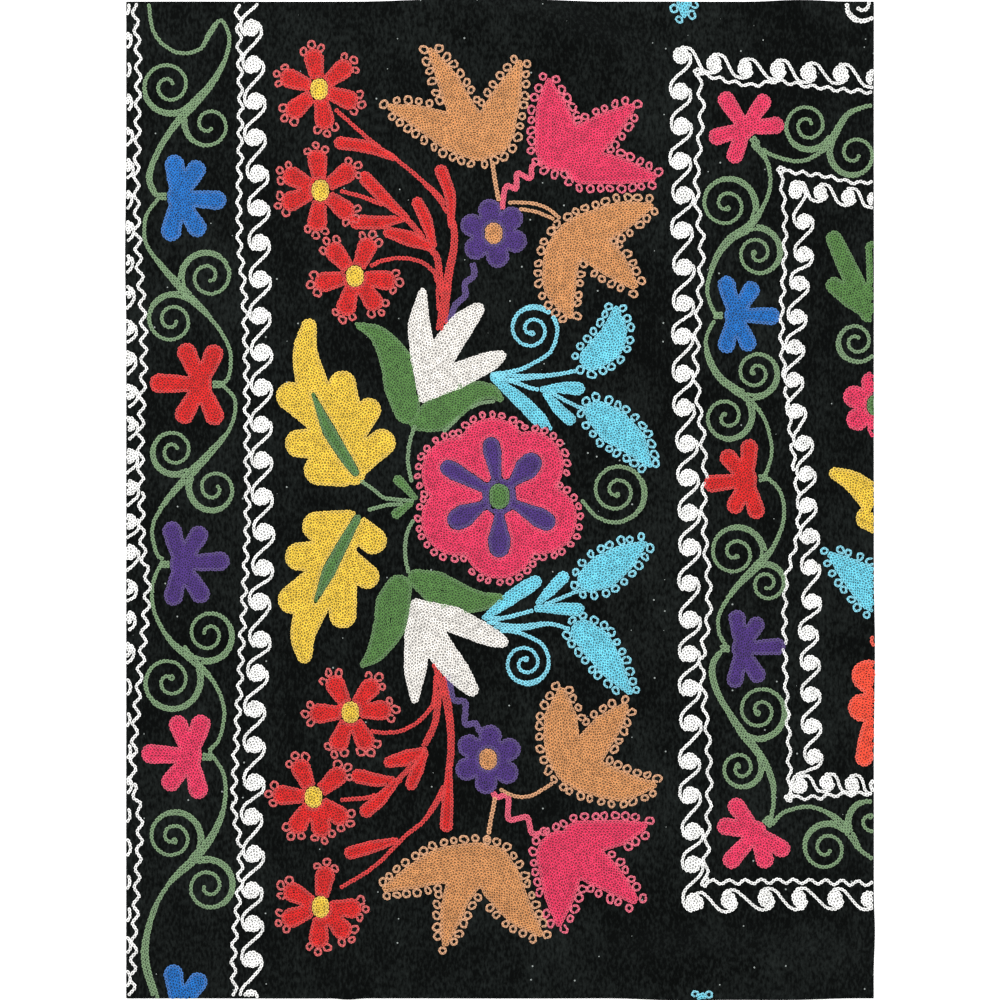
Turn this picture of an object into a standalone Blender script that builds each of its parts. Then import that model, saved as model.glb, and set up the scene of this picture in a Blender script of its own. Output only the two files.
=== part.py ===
"""A cut length of black velvet for a suzani, lying nearly flat, with the soft folds that it keeps.

The origin is at the middle of the underside. +X runs across the cloth, +Y along it, +Z is up.
"""

from math import hypot

import bpy
from mathutils import Vector
from mathutils.geometry import interpolate_bezier

# The cut length, in metres.
CUT_WIDTH = 0.450
CUT_LENGTH = 0.600
CLOTH_THICKNESS = 0.0016

# Cells of the cloth's mesh, across and along.
CELLS_ACROSS = 45
CELLS_ALONG = 60

# Each fold is a soft ridge over a curved crest line. Sizes are in millimetres:
# the crest runs from one end to the other and bows sideways, to the left of its run if positive.
# The ridge rises to its full height along the middle of the crest and dies away at the ends.
FOLD_COLUMNS = ("name", "from_x", "from_y", "to_x", "to_y", "bow", "rise", "half_width")
FOLDS = (
    ("head arc", -92, 286, 124, 222, 30, 7.0, 27),
    ("head corner", 150, 312, 214, 262, 6, 3.0, 20),
    ("foot brow", 14, -262, 262, -268, 12, 5.5, 24),
    ("foot lip", 62, -312, 214, -304, 18, 4.0, 17),
    ("foot crease", -93, -250, -90, -330, 0, 2.2, 11),
    ("left drift", -136, -48, -196, -168, -7, 2.4, 20),
    ("left rise", -244, 96, -196, 236, -8, 2.6, 26),
    ("right drift", 104, 206, 156, 84, 6, 2.2, 20),
    ("right edge", 196, -40, 240, -170, 8, 2.6, 24),
)
MILLIMETRE = 0.001
CREST_POINTS = 24  # straight steps that stand for a crest line
END_TAPER = 0.35  # share of a crest's length over which each end dies away

VELVET_COLOUR = (0.012, 0.014, 0.016, 1.0)
VELVET_ROUGHNESS = 0.95


def clear_scene():
    for found in list(bpy.data.objects):
        bpy.data.objects.remove(found, do_unlink=True)


def soft_step(share):
    """0 below 0, 1 above 1, with a smooth rise between."""
    held = min(max(share, 0.0), 1.0)
    return held * held * (3.0 - 2.0 * held)


def crest_of(fold):
    """Points along a fold's crest line, in metres."""
    start = Vector((fold["from_x"], fold["from_y"], 0.0)) * MILLIMETRE
    end = Vector((fold["to_x"], fold["to_y"], 0.0)) * MILLIMETRE
    run = end - start
    side = Vector((-run.y, run.x, 0.0)).normalized() * fold["bow"] * MILLIMETRE
    # Handles moved sideways by 4/3 of the bow bring the middle of the curve out by the bow.
    handle_side = side * (4.0 / 3.0)
    return interpolate_bezier(
        start,
        start + run / 3.0 + handle_side,
        end - run / 3.0 + handle_side,
        end,
        CREST_POINTS,
    )


def ridge_height(fold, crest, x, y):
    """Height that one fold gives the cloth above the point (x, y)."""
    nearest = min(range(len(crest)), key=lambda i: hypot(x - crest[i].x, y - crest[i].y))
    away = hypot(x - crest[nearest].x, y - crest[nearest].y)
    across = soft_step(1.0 - away / (fold["half_width"] * MILLIMETRE))
    along = nearest / (len(crest) - 1)
    ends = soft_step(min(along, 1.0 - along) / END_TAPER)
    return fold["rise"] * MILLIMETRE * across * ends


def lift_into_folds(cloth):
    """Raises the flat cloth where folds run. The rest stays on the plane that it lies on."""
    folds = [dict(zip(FOLD_COLUMNS, row)) for row in FOLDS]
    crests = [crest_of(fold) for fold in folds]
    for vertex in cloth.data.vertices:
        x, y = vertex.co.x, vertex.co.y
        heights = [ridge_height(fold, crest, x, y) for fold, crest in zip(folds, crests)]
        vertex.co.z = max(heights)


def velvet_material():
    material = bpy.data.materials.new("black_velvet")
    material.use_nodes = True
    shader = material.node_tree.nodes["Principled BSDF"]
    shader.inputs["Base Color"].default_value = VELVET_COLOUR
    shader.inputs["Roughness"].default_value = VELVET_ROUGHNESS
    shader.inputs["Metallic"].default_value = 0.0
    material.diffuse_color = VELVET_COLOUR
    return material


def ground_cloth():
    """The velvet, from its underside up: a grid in the shape of its folds, thickened upwards."""
    bpy.ops.mesh.primitive_grid_add(
        x_subdivisions=CELLS_ACROSS,
        y_subdivisions=CELLS_ALONG,
        size=1.0,
        location=(0.0, 0.0, 0.0),
    )
    cloth = bpy.context.object
    cloth.name = "ground_cloth"
    cloth.data.name = "ground_cloth"
    cloth.scale = (CUT_WIDTH, CUT_LENGTH, 1.0)
    bpy.ops.object.transform_apply(location=False, rotation=False, scale=True)
    lift_into_folds(cloth)
    thicken = cloth.modifiers.new("Thickness", "SOLIDIFY")
    thicken.thickness = CLOTH_THICKNESS
    thicken.offset = 1.0
    cloth.data.materials.append(velvet_material())
    cloth.data.shade_smooth()
    cloth.data.set_sharp_from_angle(angle=0.8)
    return cloth


def collect(name, parts):
    """Moves the parts into a collection named for the object."""
    group = bpy.data.collections.new(name)
    bpy.context.scene.collection.children.link(group)
    for part in parts:
        for holder in list(part.users_collection):
            holder.objects.unlink(part)
        group.objects.link(part)


def main():
    clear_scene()
    collect("suzani", [ground_cloth()])


main()
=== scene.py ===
from math import atan2, cos, hypot, pi, radians, sin, tau

import bpy
import numpy as np
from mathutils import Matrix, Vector
from mathutils.geometry import interpolate_bezier


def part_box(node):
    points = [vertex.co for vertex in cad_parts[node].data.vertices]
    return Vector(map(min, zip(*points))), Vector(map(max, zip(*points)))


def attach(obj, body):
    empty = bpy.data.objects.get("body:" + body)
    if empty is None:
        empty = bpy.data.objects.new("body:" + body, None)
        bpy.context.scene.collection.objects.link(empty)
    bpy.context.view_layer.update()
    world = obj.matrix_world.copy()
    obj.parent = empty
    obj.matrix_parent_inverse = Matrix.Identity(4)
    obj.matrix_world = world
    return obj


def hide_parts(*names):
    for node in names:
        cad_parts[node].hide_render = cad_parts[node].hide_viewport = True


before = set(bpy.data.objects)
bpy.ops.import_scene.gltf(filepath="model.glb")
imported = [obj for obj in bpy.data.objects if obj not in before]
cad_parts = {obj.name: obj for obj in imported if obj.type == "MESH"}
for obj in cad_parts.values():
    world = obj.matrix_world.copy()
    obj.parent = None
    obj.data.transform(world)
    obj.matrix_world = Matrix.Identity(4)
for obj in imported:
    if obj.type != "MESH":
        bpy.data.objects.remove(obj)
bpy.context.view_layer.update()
clothLow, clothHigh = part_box("ground_cloth")

# Drawing is in millimetres on the flat cloth, +X to the right and +Y up. Meshes are in metres.
mm = 0.001
dice = np.random.default_rng(1907)


def named(columns, rows):
    # rows of a table, each with its values under their column's name
    return [dict(zip(columns, row)) for row in rows]


# Camera, light and floor

view = {
    "lens": 50.0,
    "seen": 0.600,  # side of the square that the camera sees at the cloth, in metres
    "keySize": 1.6,
    "keyPower": 40.0,
    "keyPlace": (-0.55, 0.95, 1.35),
    "fillSize": 2.2,
    "fillPower": 31.0,
    "fillPlace": (0.8, -0.7, 1.7),
    "skyStrength": 0.80,
    "floorSide": 6.0,
    "floorDrop": 0.0004,
}


def aimedAt(place, target):
    return (Vector(target) - Vector(place)).to_track_quat("-Z", "Y").to_euler()


def softBox(name, place, size, power):
    bpy.ops.object.light_add(type="AREA", location=place, rotation=aimedAt(place, (0, 0, 0)))
    lamp = bpy.context.object
    lamp.name = name
    lamp.data.size = size
    lamp.data.energy = power


def setTheView():
    distance = view["seen"] * view["lens"] / 36.0
    bpy.ops.object.camera_add(location=(0, 0, distance + clothHigh[2] / 2), rotation=(0, 0, 0))
    camera = bpy.context.object
    camera.data.lens = view["lens"]
    camera.data.sensor_width = 36.0
    bpy.context.scene.camera = camera
    softBox("keyLight", view["keyPlace"], view["keySize"], view["keyPower"])
    softBox("fillLight", view["fillPlace"], view["fillSize"], view["fillPower"])
    sky = bpy.data.worlds.new("studio")
    sky.use_nodes = True
    sky.node_tree.nodes["Background"].inputs["Color"].default_value = (1, 1, 1, 1)
    sky.node_tree.nodes["Background"].inputs["Strength"].default_value = view["skyStrength"]
    bpy.context.scene.world = sky
    bpy.context.scene.view_settings.view_transform = "Standard"
    bpy.ops.mesh.primitive_plane_add(size=view["floorSide"], location=(0, 0, -view["floorDrop"]))
    floor = bpy.context.object
    floor.name = "floor"
    return floor


# Shader expressions

class Value:
    # a shader socket that can be added and multiplied like a number
    def __init__(self, socket):
        self.socket = socket

    def maths(self, operation, first, second):
        node = self.socket.id_data.nodes.new("ShaderNodeMath")
        node.operation = operation
        feed(node.inputs[0], first)
        feed(node.inputs[1], second)
        return Value(node.outputs[0])

    def __add__(self, other):
        return self.maths("ADD", self, other)

    def __radd__(self, other):
        return self.maths("ADD", other, self)

    def __sub__(self, other):
        return self.maths("SUBTRACT", self, other)

    def __rsub__(self, other):
        return self.maths("SUBTRACT", other, self)

    def __mul__(self, other):
        return self.maths("MULTIPLY", self, other)

    def __rmul__(self, other):
        return self.maths("MULTIPLY", other, self)

    def __lt__(self, other):
        return self.maths("LESS_THAN", self, other)

    def __gt__(self, other):
        return self.maths("GREATER_THAN", self, other)


def feed(socket, given):
    if isinstance(given, Value):
        socket.id_data.links.new(given.socket, socket)
    else:
        socket.default_value = given


class Finish:
    # a Principled material and the nodes that are added to it
    def __init__(self, name):
        self.material = bpy.data.materials.new(name)
        self.material.use_nodes = True
        self.tree = self.material.node_tree
        self.shader = self.tree.nodes["Principled BSDF"]

    def node(self, kind, settings=None, inputs=None, output=0):
        made = self.tree.nodes.new(kind)
        for name, setting in (settings or {}).items():
            if name == "stops":
                for spare in range(len(setting) - 2):
                    made.color_ramp.elements.new(0.5)
                for stop, (place, colour) in zip(made.color_ramp.elements, setting):
                    stop.position = place
                    stop.color = colour
            else:
                setattr(made, name, setting)
        for name, given in (inputs or {}).items():
            feed(made.inputs[name], given)
        return Value(made.outputs[output])

    def place(self):
        return self.node("ShaderNodeTexCoord", output=3)

    def noise(self, scale, detail=2.0, roughness=0.5, stretch=(1.0, 1.0, 1.0)):
        product = {"operation": "MULTIPLY"}
        spread = self.node("ShaderNodeVectorMath", product, {0: self.place(), 1: stretch})
        inputs = {"Vector": spread, "Scale": scale, "Detail": detail, "Roughness": roughness}
        return self.node("ShaderNodeTexNoise", inputs=inputs)

    def blend(self, factor, first, second, how="MIX"):
        inputs = {0: factor, 6: first, 7: second}
        return self.node("ShaderNodeMix", {"data_type": "RGBA", "blend_type": how}, inputs, output=2)

    def ramp(self, factor, stops):
        return self.node("ShaderNodeValToRGB", {"stops": stops}, {"Fac": factor})

    def bump(self, height, strength, distance):
        inputs = {"Height": height, "Strength": strength, "Distance": distance}
        feed(self.shader.inputs["Normal"], self.node("ShaderNodeBump", inputs=inputs))

    def set(self, inputs):
        for name, given in inputs.items():
            feed(self.shader.inputs[name], given)


def shadeOf(colour, share):
    return tuple(part * share for part in colour) + (1.0,)


# The velvet

velvet = {
    "width": 450.0,
    "length": 600.0,
    "thickness": 1.6,
    "cell": 3.75,
    "unevenness": 0.30,  # height of the slow waves of a cloth that lies loose
    "crestSteps": 120,
    "endTaper": 0.35,  # share of a crest over which each end dies away
    # the velvet's own near-black, and the lighter colour of its painted sheen where the nap catches the
    # light
    "pileDark": (0.0001, 0.0003, 0.0002),
    "pileSheen": (0.0078, 0.0098, 0.0091),
    "pileStops": (0.45, 0.66),
    "lint": (0.20, 0.22, 0.21),
    "pileDepth": 0.0008,
    "lintCell": 150,
    "lintSize": 0.075,
    "lintFree": 0.72,  # share of the cells without a speck
}

# Each fold is a soft ridge over a crest that bows sideways, to the left of its run if positive.
foldColumns = ("name", "fromX", "fromY", "toX", "toY", "bow", "rise", "halfWidth")
folds = (
    ("head arc", -92, 286, 124, 222, 30, 7.0, 27),
    ("head corner", 150, 312, 214, 262, 6, 3.0, 20),
    ("foot brow", 14, -262, 262, -268, 12, 5.5, 24),
    ("foot lip", 62, -312, 214, -304, 18, 4.0, 17),
    ("foot crease", -93, -250, -90, -330, 0, 2.2, 11),
    ("left drift", -136, -48, -196, -168, -7, 2.4, 20),
    ("left rise", -244, 96, -196, 236, -8, 2.6, 26),
    ("right drift", 104, 206, 156, 84, 6, 2.2, 20),
    ("right edge", 196, -40, 240, -170, 8, 2.6, 24),
)


def softStep(share):
    held = np.clip(share, 0.0, 1.0)
    return held * held * (3.0 - 2.0 * held)


def crestOf(fold):
    start = Vector((fold["fromX"], fold["fromY"], 0))
    end = Vector((fold["toX"], fold["toY"], 0))
    run = end - start
    side = Vector((-run.y, run.x, 0)).normalized() * fold["bow"] * (4 / 3)
    handles = start + run / 3 + side, end - run / 3 + side
    points = interpolate_bezier(start, *handles, end, velvet["crestSteps"])
    return np.array([(point.x, point.y) for point in points])


def clothHeights(x, y):
    height = velvet["unevenness"] * (1 + np.sin(x / 21 + 1.1) * np.sin(y / 27 - 0.4)) / 2
    for fold in named(foldColumns, folds):
        crest = crestOf(fold)
        away = np.hypot(x[:, None] - crest[:, 0], y[:, None] - crest[:, 1])
        along = away.argmin(axis=1) / (len(crest) - 1)
        across = softStep(1 - away.min(axis=1) / fold["halfWidth"])
        ends = softStep(np.minimum(along, 1 - along) / velvet["endTaper"])
        height = np.maximum(height, fold["rise"] * across * ends)
    return height


def velvetFinish():
    finish = Finish("blackVelvet")
    patches = finish.noise(14, 3)
    brushed = finish.noise(75, 4, 0.65, (1.0, 0.55, 1.0))
    pile = finish.noise(620, 2, 0.6, (1.0, 0.45, 1.0))
    # patches where the nap lies this way or that, drawn lighter and darker in the base colour as painted
    # sheen
    napSheen = patches * 0.25 + brushed * 0.22 + pile * 0.53
    dark = velvet["pileDark"] + (1.0,)
    light = velvet["pileSheen"] + (1.0,)
    ground = finish.ramp(napSheen, tuple(zip(velvet["pileStops"], (dark, light))))
    speckInputs = {"Vector": finish.place(), "Scale": velvet["lintCell"]}
    speckSize = finish.node("ShaderNodeTexVoronoi", inputs=speckInputs)
    speckLuck = finish.node("ShaderNodeTexVoronoi", inputs=speckInputs, output=1)
    luck = finish.node("ShaderNodeSeparateColor", inputs={"Color": speckLuck})
    lint = (speckSize < velvet["lintSize"]) * (luck > velvet["lintFree"])
    finish.set({"Base Color": finish.blend(lint, ground, velvet["lint"] + (1.0,)), "Roughness": 0.95})
    finish.set({"Sheen Weight": 0.05, "Sheen Roughness": 0.5, "Sheen Tint": (0.60, 0.75, 0.75, 1.0)})
    finish.set({"Specular IOR Level": 0.05})
    finish.bump(pile * 0.6 + brushed * 0.4, 0.8, velvet["pileDepth"])
    return finish.material


def layTheVelvet():
    bpy.ops.object.select_all(action="DESELECT")
    bpy.ops.mesh.primitive_grid_add(
        x_subdivisions=int(velvet["width"] / velvet["cell"]),
        y_subdivisions=int(velvet["length"] / velvet["cell"]),
        size=1,
    )
    cloth = bpy.context.object
    cloth.name = "velvetGround"
    cloth.scale = (velvet["width"] * mm, velvet["length"] * mm, 1)
    bpy.ops.object.transform_apply(location=False, rotation=False, scale=True)
    places = np.array([vertex.co for vertex in cloth.data.vertices])
    places[:, 2] = clothHeights(places[:, 0] / mm, places[:, 1] / mm) * mm
    cloth.data.vertices.foreach_set("co", places.ravel())
    thicken = cloth.modifiers.new("thickness", "SOLIDIFY")
    thicken.thickness = velvet["thickness"] * mm
    thicken.offset = 1
    bpy.ops.object.modifier_apply(modifier=thicken.name)
    bpy.ops.object.shade_smooth_by_angle(angle=radians(50))
    cloth.data.materials.append(velvetFinish())
    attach(cloth, "root")
    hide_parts("ground_cloth")
    return cloth


# Stitches: where every chain link goes

stitch = {
    "pitch": 2.20,  # length of a row that one link takes
    "rowGap": 1.92,
    "fillWidth": 2.30,  # width of a link in a filled shape, so that rows press together
    "lineWidth": 2.28,
    "linkWidth": 2.36,  # of the link as it is modelled
    "linePale": {"red": 0.30, "purple": 0.40, "green": 1.0, "border": 0.3},  # other threads 0.7
    "clear": 0.35,  # between two colours
    "room": 1.40,  # a new link keeps this far from the links that are already worked
    "hole": 1.32,  # a bare spot this far from every link gets a link of its own
    "edge": 0.9,  # between a link and the cut edge
    "grid": 0.6,  # cell of the grid on which a shape is drawn
    "edgePale": 0.35,  # paleness of the row round the edge of a shape
    "bareDepth": 0.42,  # bare spots are looked for this share of a row gap inside the outline
    "fillerRoom": 1.15,
    "lineRoom": 1.05,
    "rowInLine": 2.15,  # a line gets one more row for each of these
    "rowSwell": 1.12,  # rows side by side are this much wider than their share, to press together
    "leastRow": 1.90,
    "wobble": 0.09,
    "sway": 5.0,  # degrees
}

threads = {}  # thread name: its links, as x, y, heading, length, width and paleness
worked = {}  # the same links by their square of the cloth, to see how near they lie


def roomAt(x, y, distance):
    square = stitch["room"]
    column, row = int(x // square), int(y // square)
    for i in range(column - 1, column + 2):
        for j in range(row - 1, row + 2):
            for other in worked.get((i, j), ()):
                if hypot(x - other[0], y - other[1]) < distance:
                    return False
    return True


def onTheCloth(x, y):
    return (
        abs(x) < velvet["width"] / 2 - stitch["edge"]
        and abs(y) < velvet["length"] / 2 - stitch["edge"]
    )


def work(thread, x, y, heading, length=1.0, width=2.5, pale=0.0, room=None):
    if not onTheCloth(x, y) or not roomAt(x, y, stitch["room"] if room is None else room):
        return
    dx, dy = dice.normal(0, stitch["wobble"], 2)
    turn = radians(dice.normal(0, stitch["sway"]))
    bulk = width / stitch["linkWidth"] * dice.uniform(0.94, 1.06)
    threads.setdefault(thread, []).append((x + dx, y + dy, heading + turn, length, bulk, pale))
    square = stitch["room"]
    worked.setdefault((int(x // square), int(y // square)), []).append((x, y))


def lengthsAlong(line):
    return np.concatenate(([0.0], np.cumsum(np.hypot(*np.diff(line, axis=0).T))))


def pointAt(line, lengths, where):
    return np.array((np.interp(where, lengths, line[:, 0]), np.interp(where, lengths, line[:, 1])))


def workRow(thread, line, width=None, closed=False, pale=0.0, room=None, shorter=1.0):
    # chain links one after the other along a line, as wide as the row is there
    line = np.asarray(line, float)
    if closed:
        line = np.vstack((line, line[:1]))
    lengths = lengthsAlong(line)
    total = lengths[-1]
    widths = np.full(len(line), stitch["fillWidth"] if width is None else width, float)
    count = int(round(total / (stitch["pitch"] * shorter)))
    if count < (3 if closed else 1):
        return
    pitch = total / count
    start = dice.uniform(0, pitch) if closed else pitch / 2
    for k in range(count):
        middle = start + k * pitch
        before, after = middle - pitch / 2, middle + pitch / 2
        if closed:
            middle, before, after = middle % total, before % total, after % total
        here = pointAt(line, lengths, middle)
        run = pointAt(line, lengths, after) - pointAt(line, lengths, before)
        thick = np.interp(middle, lengths, widths)
        work(thread, here[0], here[1], atan2(run[1], run[0]), pitch / stitch["pitch"], thick, pale, room)


def smoothLine(points, step=0.8):
    # a smooth curve through given points
    points = np.asarray(points, float)
    if len(points) == 2:
        steps = max(2, int(np.hypot(*(points[1] - points[0])) / step))
        return points[0] + (points[1] - points[0]) * np.linspace(0, 1, steps)[:, None]
    ends = np.vstack((2 * points[0] - points[1], points, 2 * points[-1] - points[-2]))
    made = []
    for a, b, c, d in zip(ends, ends[1:], ends[2:], ends[3:]):
        steps = max(2, int(np.hypot(*(c - b)) / step))
        t = np.linspace(0, 1, steps, endpoint=False)[:, None]
        square, cube = 2 * a - 5 * b + 4 * c - d, 3 * b - a - 3 * c + d
        made.append(0.5 * (2 * b + (c - a) * t + square * t**2 + cube * t**3))
    made.append(points[-1:])
    return np.vstack(made)


def sidesOf(line):
    run = np.gradient(line, axis=0)
    run /= np.maximum(np.hypot(*run.T), 1e-9)[:, None]
    return np.column_stack((-run[:, 1], run[:, 0]))


def stationsOn(line, points):
    return [np.argmin(np.hypot(*(line - point).T)) for point in np.asarray(points, float)]


def workLine(thread, points, widths=None):
    # a line as wide as asked for: one row where it is thin, two or three side by side where it swells
    line = smoothLine(points)
    pale = stitch["linePale"].get(thread, 0.7)
    widths = stitch["lineWidth"] if widths is None else widths
    given = np.full(len(points), widths, float) if np.isscalar(widths) else np.asarray(widths, float)
    thick = np.interp(np.arange(len(line)), stationsOn(line, points), given)
    counts = np.clip(np.round(thick / stitch["rowInLine"]), 1, 4).astype(int)
    sides = sidesOf(line)
    for count in range(1, 5):
        shown = np.flatnonzero(counts == count)
        for stretch in np.split(shown, np.flatnonzero(np.diff(shown) > 1) + 1):
            if len(stretch) < 2:
                continue
            stretch = np.arange(max(stretch[0] - 2, 0), min(stretch[-1] + 3, len(line)))
            each = thick[stretch] / count
            for k in range(count):
                row = line[stretch] + sides[stretch] * (each * (k - (count - 1) / 2))[:, None]
                swollen = np.maximum(each * stitch["rowSwell"], stitch["leastRow"])
                workRow(thread, row, each if count == 1 else swollen, pale=pale, room=stitch["lineRoom"])


def strokeOf(spine, halfWidths):
    # a chalk stroke: discs along a smooth spine, as wide as it is given there
    line = smoothLine(spine)
    widths = np.interp(np.arange(len(line)), stationsOn(line, spine), halfWidths)
    return np.column_stack((line, widths))


def oval(x, y, halfWidth, halfHeight):
    reach = halfHeight - halfWidth
    return strokeOf(((x, y - reach), (x, y + reach)), (halfWidth, halfWidth))


def drawn(discs, low, size):
    # how deep every point of the grid lies in the strokes, less than nothing outside
    step = stitch["grid"]
    depth = np.full(size, -9.0)
    for x, y, radius in discs:
        reach = radius + 2.5
        i0, i1 = (max(0, int((y + side * reach - low[1]) / step)) for side in (-1, 1))
        j0, j1 = (max(0, int((x + side * reach - low[0]) / step)) for side in (-1, 1))
        ys = low[1] + step * np.arange(i0, min(i1 + 1, size[0]))
        xs = low[0] + step * np.arange(j0, min(j1 + 1, size[1]))
        window = depth[i0:i0 + len(ys), j0:j0 + len(xs)]
        np.maximum(window, radius - np.hypot(xs[None, :] - x, ys[:, None] - y), out=window)
    return depth


def contours(depth, level, low):
    # closed loops along which the depth is the level, with the deep side on their left
    inside = depth > level
    mixed = inside[:-1, :-1].astype(int) + inside[:-1, 1:] + inside[1:, 1:] + inside[1:, :-1]
    following = {}
    for i, j in np.argwhere((mixed > 0) & (mixed < 4)).tolist():
        corners = (inside[i, j], inside[i, j + 1], inside[i + 1, j + 1], inside[i + 1, j])
        edges = ((i, j, 0), (i, j + 1, 1), (i + 1, j, 0), (i, j, 1))
        leaving = [edges[k] for k in range(4) if corners[k] and not corners[(k + 1) % 4]]
        entering = [edges[k] for k in range(4) if not corners[k] and corners[(k + 1) % 4]]
        for k, edge in enumerate(leaving):
            following[edge] = entering[k - 1]
    loops = []
    while following:
        first, edge = following.popitem()
        keys = [first]
        while edge != first and edge in following:
            keys.append(edge)
            edge = following.pop(edge)
        points = []
        for i, j, upright in keys:
            here, there = depth[i, j], depth[i + upright, j + 1 - upright]
            share = (level - here) / (there - here)
            points.append((j + share * (1 - upright), i + share * upright))
        loops.append(np.array(points) * stitch["grid"] + low)
    return loops


def nearestDistance(points, others):
    nearest = np.empty(len(points), np.float32)
    others = others.astype(np.float32)
    for start in range(0, len(points), 4000):
        some = points[start:start + 4000].astype(np.float32)
        gaps = ((some[:, None] - others[None]) ** 2).sum(axis=2)
        nearest[start:start + 4000] = np.sqrt(gaps.min(axis=1))
    return nearest


def workShape(thread, strokes, holes=()):
    # rows of chain that follow the outline inwards, then single links on any bare spot
    discs = np.vstack(strokes)
    step = stitch["grid"]
    low = discs[:, :2].min(axis=0) - discs[:, 2].max() - 3 * step
    high = discs[:, :2].max(axis=0) + discs[:, 2].max() + 3 * step
    size = tuple(int(n) for n in np.ceil((high - low)[::-1] / step))
    values = drawn(discs, low, size)
    for hole in holes:
        values = np.minimum(values, -drawn(hole, low, size) - stitch["clear"])
    outlines = contours(values, 0.0, low)
    cells = np.argwhere(values > 0)
    places = cells[:, ::-1] * step + low
    depth = np.zeros(size)
    depth[cells[:, 0], cells[:, 1]] = nearestDistance(places, np.vstack(outlines))
    first = len(threads.get(thread, ()))
    level = stitch["rowGap"] / 2
    while level < depth.max():
        for loop in contours(depth, level, low):
            workRow(thread, loop, closed=True, pale=stitch["edgePale"] if level < stitch["rowGap"] else 0.0)
        level += stitch["rowGap"]
    within = depth[cells[:, 0], cells[:, 1]] > stitch["bareDepth"] * stitch["rowGap"]
    fillBareSpots(thread, first, places[within])
    return max(outlines, key=lambda outline: np.ptp(outline, axis=0).max())


def fillBareSpots(thread, first, places):
    mine = np.array([link[:3] for link in threads.get(thread, ())[first:]])
    if not len(mine) or not len(places):
        return
    bare = nearestDistance(places, mine[:, :2])
    while bare.max() > stitch["hole"]:
        x, y = places[bare.argmax()]
        heading = mine[np.hypot(mine[:, 0] - x, mine[:, 1] - y).argmin(), 2]
        work(thread, x, y, heading, room=stitch["fillerRoom"])
        bare = np.minimum(bare, np.hypot(places[:, 0] - x, places[:, 1] - y))


picot = {"radius": 1.85, "links": 5, "overlap": 0.2, "every": 6.2, "width": 1.50}


def workRing(thread, x, y, size=1.0):
    radius = picot["radius"] * size * dice.uniform(0.86, 1.16)
    if not roomAt(x, y, radius + 0.1):
        return
    start = dice.uniform(0, tau)
    long, lean = dice.uniform(1.0, 1.22), dice.uniform(0, pi)
    for k in range(picot["links"]):
        angle = start + tau * k / picot["links"] + dice.uniform(-0.1, 0.1)
        along, across = radius * long * cos(angle), radius / long * sin(angle)
        ringX = x + along * cos(lean) - across * sin(lean)
        ringY = y + along * sin(lean) + across * cos(lean)
        arc = tau * radius / picot["links"] / stitch["pitch"] * 1.08
        work(thread, ringX, ringY, angle + lean + pi / 2, arc, picot["width"], 1.0, 0.9)


def workPicots(thread, outline, size=1.0):
    # small chain rings side by side round the outside of a shape
    line = np.vstack((outline, outline[:1]))
    lengths = lengthsAlong(line)
    count = int(round(lengths[-1] / picot["every"] / (0.3 + 0.7 * size)))
    for k in range(count):
        where = (k + 0.5 + dice.uniform(-0.12, 0.12)) * lengths[-1] / count
        away = picot["radius"] * size + picot["width"] / 2 - picot["overlap"] + dice.uniform(-0.2, 0.4)
        here = pointAt(line, lengths, where)
        ahead = pointAt(line, lengths, min(where + 1.5, lengths[-1]))
        run = ahead - pointAt(line, lengths, max(where - 1.5, 0))
        run /= hypot(*run)
        workRing(thread, here[0] + run[1] * away, here[1] - run[0] * away, size)


def zigzagLine(points, halfWave, swing):
    # a line that swings from side to side of a smooth one
    line = smoothLine(points)
    lengths = lengthsAlong(line)
    count = max(2, int(round(lengths[-1] / halfWave)))
    sides = sidesOf(line)
    turns = []
    for k in range(count + 1):
        where = lengths[-1] * k / count
        side = np.array([np.interp(where, lengths, sides[:, axis]) for axis in (0, 1)])
        push = swing * (1 if k % 2 else -1) * dice.uniform(0.85, 1.12)
        turns.append(pointAt(line, lengths, where) + side * push)
    return np.array(turns)


spiralLine = {
    "least": 2.3,  # radius of the last turn
    "steps": 16,  # to a turn
    "widths": (3.5, 2.45),  # while it still has two rows, and after
    "thinFrom": (0.22, 0.40),
    "endRing": 0.62,
}


def workSpiral(thread, start, centre, spin, turns, startWidth=4.2):
    # winds evenly from its start to its middle, in two rows at first and then in one
    away = np.subtract(start, centre)
    radius, angle = hypot(*away), atan2(away[1], away[0])
    points = []
    for u in np.linspace(0, 1, int(spiralLine["steps"] * turns)):
        r = radius + (spiralLine["least"] - radius) * u
        wound = angle + spin * tau * turns * u
        points.append((centre[0] + r * cos(wound), centre[1] + r * sin(wound)))
    thin = dice.uniform(*spiralLine["thinFrom"])
    double, single = spiralLine["widths"]
    shares = np.linspace(0, 1, len(points))
    widths = np.interp(shares, (0, 0.5 * thin, thin, 1), (startWidth, double, single, single))
    workLine(thread, points, widths)
    workRing(thread, points[-1][0] + 0.4, points[-1][1], spiralLine["endRing"])


def workSpirals(thread, rows, startWidth=4.2):
    for spiral in named(spiralColumns, rows):
        root, centre = (spiral["rootX"], spiral["rootY"]), (spiral["centreX"], spiral["centreY"])
        workSpiral(thread, root, centre, spiral["spin"], spiral["turns"], startWidth)


# Motifs

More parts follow.
